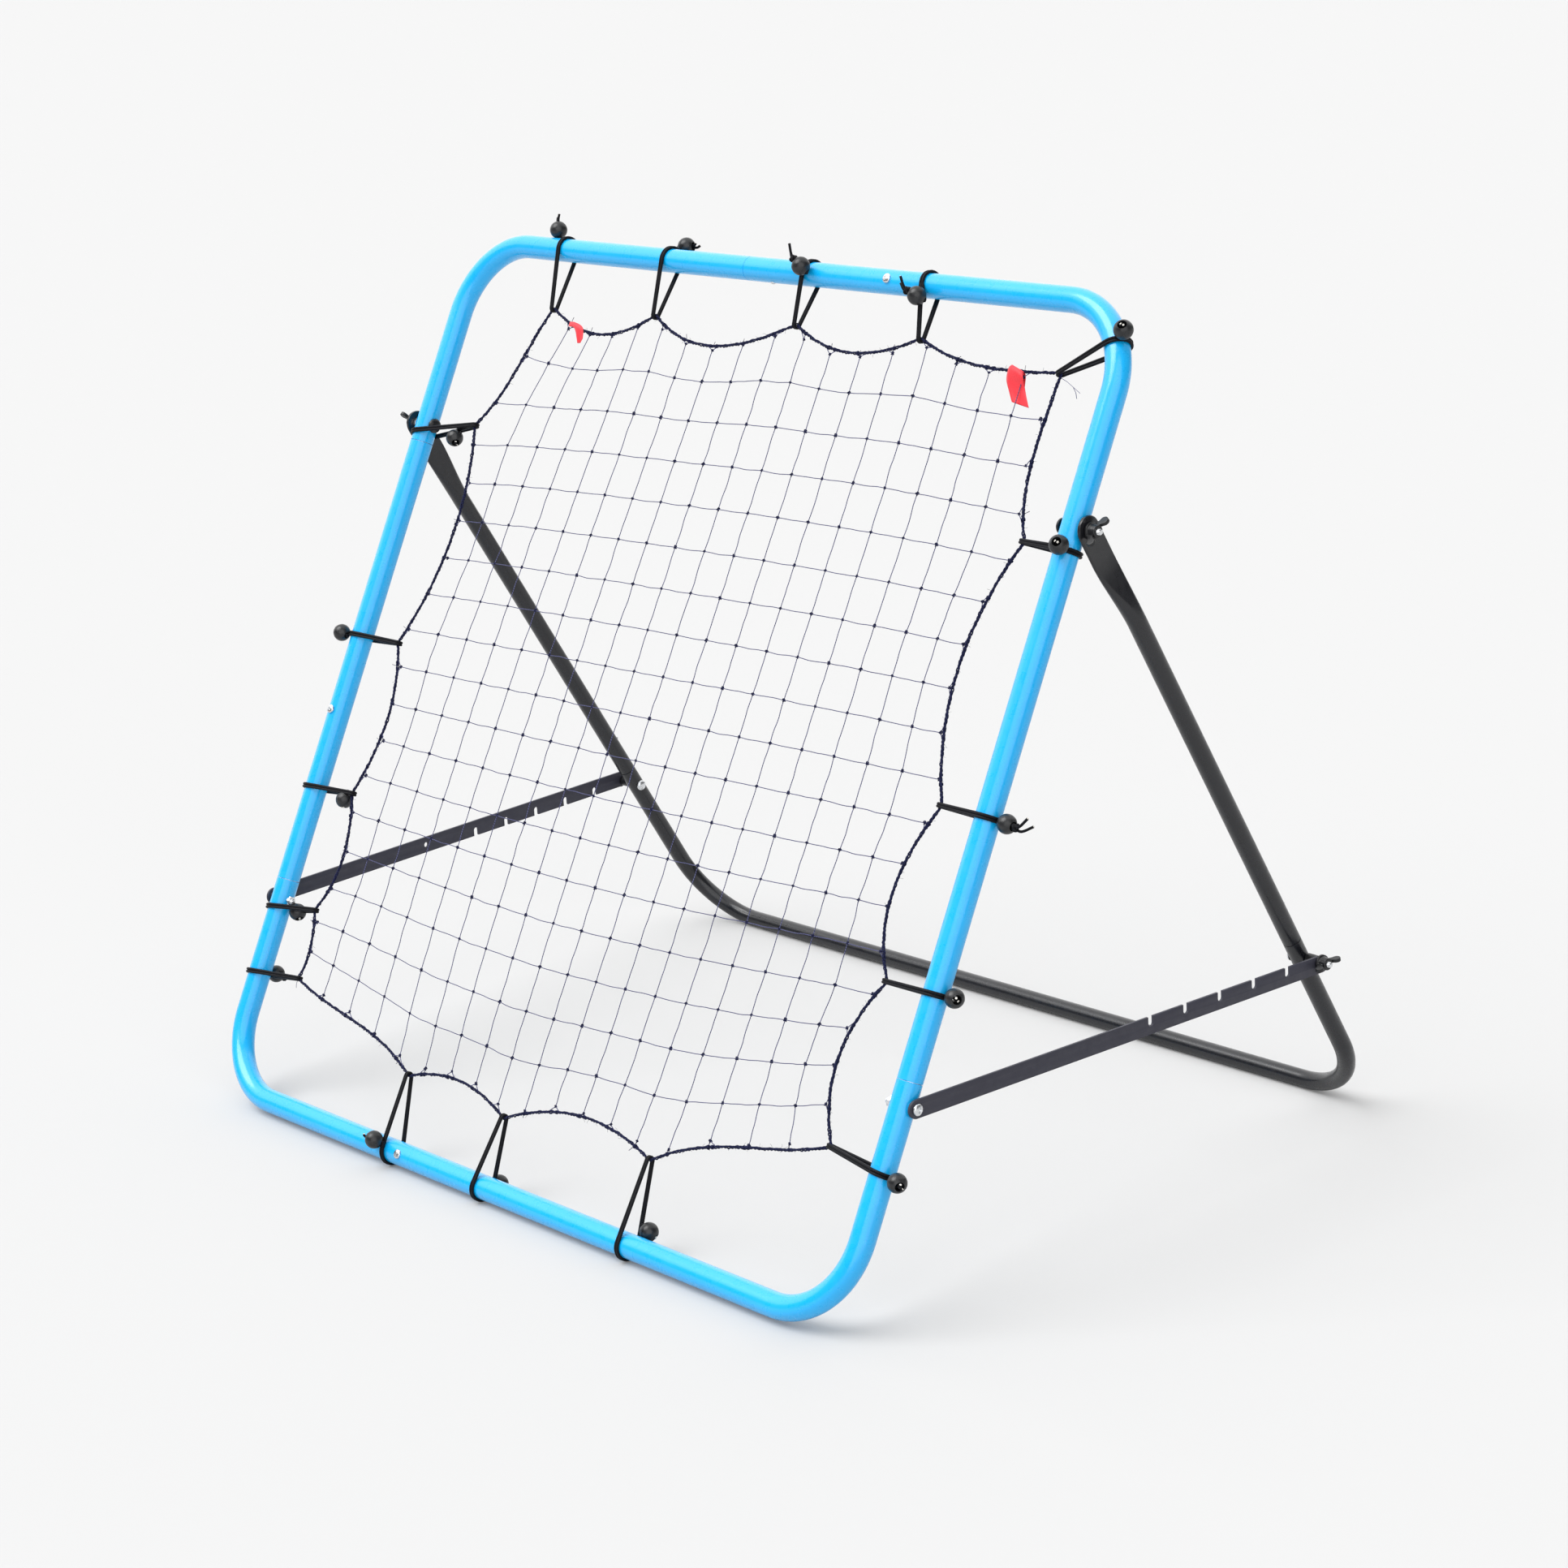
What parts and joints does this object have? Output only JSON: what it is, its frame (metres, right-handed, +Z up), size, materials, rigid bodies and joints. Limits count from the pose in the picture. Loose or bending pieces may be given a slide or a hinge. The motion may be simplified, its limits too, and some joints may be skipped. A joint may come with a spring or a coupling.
{
  "type": "pitch back rebounder",
  "caption": "Leaning tube frame with a springy net that returns a thrown ball, propped by a folding U-shaped leg and notched side bars.",
  "frame": {"origin": "on the floor, under the middle of the whole object's width and depth", "axes": "+X to the right of someone facing the net from the front, +Y from the net towards the leg, +Z up"},
  "size_m": [1.1054, 0.7734, 0.9044],
  "materials": {
    "blue_powder_coat": "satin powder coat",
    "black_satin_coat": "satin powder coat",
    "dark_grey_coat": "matt coat",
    "black_plastic": "moulded",
    "black_elastic": "braided elastic cord with a moulded plastic ball",
    "black_rope": "twisted rope",
    "navy_twine": "knotted twine",
    "zinc_plate": "zinc plated"
  },
  "bodies": {
    "frame": {"bar_nut_left": "zinc_plate", "bar_nut_right": "zinc_plate", "bar_screw_left": "zinc_plate", "bar_screw_right": "zinc_plate", "bar_washer_left": "zinc_plate", "bar_washer_right": "zinc_plate", "bungee_tie_bottom_1": "black_elastic", "bungee_tie_bottom_2": "black_elastic", "bungee_tie_bottom_3": "black_elastic", "bungee_tie_corner": "black_elastic", "bungee_tie_left_1": "black_elastic", "bungee_tie_left_2": "black_elastic", "bungee_tie_left_3": "black_elastic", "bungee_tie_left_4": "black_elastic", "bungee_tie_left_5": "black_elastic", "bungee_tie_right_1": "black_elastic", "bungee_tie_right_2": "black_elastic", "bungee_tie_right_3": "black_elastic", "bungee_tie_right_4": "black_elastic", "bungee_tie_top_1": "black_elastic", "bungee_tie_top_2": "black_elastic", "bungee_tie_top_3": "black_elastic", "bungee_tie_top_4": "black_elastic", "frame_screw_bottom": "zinc_plate", "frame_screw_side": "zinc_plate", "frame_screw_top": "zinc_plate", "frame_sleeve_high_left": "zinc_plate", "frame_sleeve_high_right": "zinc_plate", "frame_sleeve_low_left": "zinc_plate", "frame_sleeve_low_right": "zinc_plate", "frame_sleeve_top": "zinc_plate", "frame_tube_bottom": "blue_powder_coat", "frame_tube_side_left": "blue_powder_coat", "frame_tube_side_right": "blue_powder_coat", "frame_tube_top_left": "blue_powder_coat", "frame_tube_top_right": "blue_powder_coat", "net_border_rope": "black_rope", "net_mesh": "navy_twine", "pivot_bolt_left": "zinc_plate", "pivot_bolt_right": "zinc_plate", "pivot_spacer_left": "zinc_plate", "pivot_spacer_right": "zinc_plate"},
    "leg": {"leg_bolt_left": "zinc_plate", "leg_bolt_right": "zinc_plate", "leg_floor_bar": "black_satin_coat", "leg_sleeve_left": "zinc_plate", "leg_sleeve_right": "zinc_plate", "leg_tube_upper_left": "black_satin_coat", "leg_tube_upper_right": "black_satin_coat"},
    "bar_left": {"side_bar_left": "dark_grey_coat", "leg_bolt_end_left": "zinc_plate", "leg_bolt_spacer_left": "black_plastic"},
    "bar_right": {"side_bar_right": "dark_grey_coat", "leg_bolt_end_right": "zinc_plate", "leg_bolt_spacer_right": "black_plastic"},
    "wing_pivot_left": {"pivot_wing_nut_left": "black_plastic"},
    "wing_pivot_right": {"pivot_wing_nut_right": "black_plastic"},
    "wing_bar_left": {"bar_wing_nut_left": "black_plastic"},
    "wing_bar_right": {"bar_wing_nut_right": "black_plastic"}
  },
  "joints": [
    {"name": "leg_fold", "type": "hinge", "parent": "frame", "child": "leg", "pos_m": [0, -0.00078, 0.6872], "axis": [-1, 0, 0], "range_deg": [0, 42]},
    {"name": "bar_fold_left", "type": "hinge", "parent": "frame", "child": "bar_left", "pos_m": [-0.50435, -0.2605, 0.20284], "axis": [1, 0, 0], "range_deg": [0, 51.3]},
    {"name": "bar_fold_right", "type": "hinge", "parent": "frame", "child": "bar_right", "pos_m": [0.50435, -0.2605, 0.20284], "axis": [1, 0, 0], "range_deg": [0, 51.3]},
    {"name": "pivot_nut_turn_left", "type": "hinge", "parent": "leg", "child": "wing_pivot_left", "pos_m": [-0.5075, -0.00078, 0.6872], "axis": [-1, 0, 0], "continuous": true},
    {"name": "pivot_nut_turn_right", "type": "hinge", "parent": "leg", "child": "wing_pivot_right", "pos_m": [0.5075, -0.00078, 0.6872], "axis": [1, 0, 0], "continuous": true},
    {"name": "bar_nut_turn_left", "type": "hinge", "parent": "bar_left", "child": "wing_bar_left", "pos_m": [-0.5382, 0.27411, 0.19421], "axis": [-0.9982, -0.0603, 0.0007], "continuous": true},
    {"name": "bar_nut_turn_right", "type": "hinge", "parent": "bar_right", "child": "wing_bar_right", "pos_m": [0.5382, 0.27411, 0.19421], "axis": [0.9982, -0.0603, 0.0013], "continuous": true}
  ],
  "couplings": [
    {"joint": "bar_fold_left", "follows": "leg_fold", "ratio": 1.22},
    {"joint": "bar_fold_right", "follows": "leg_fold", "ratio": 1.22}
  ]
}
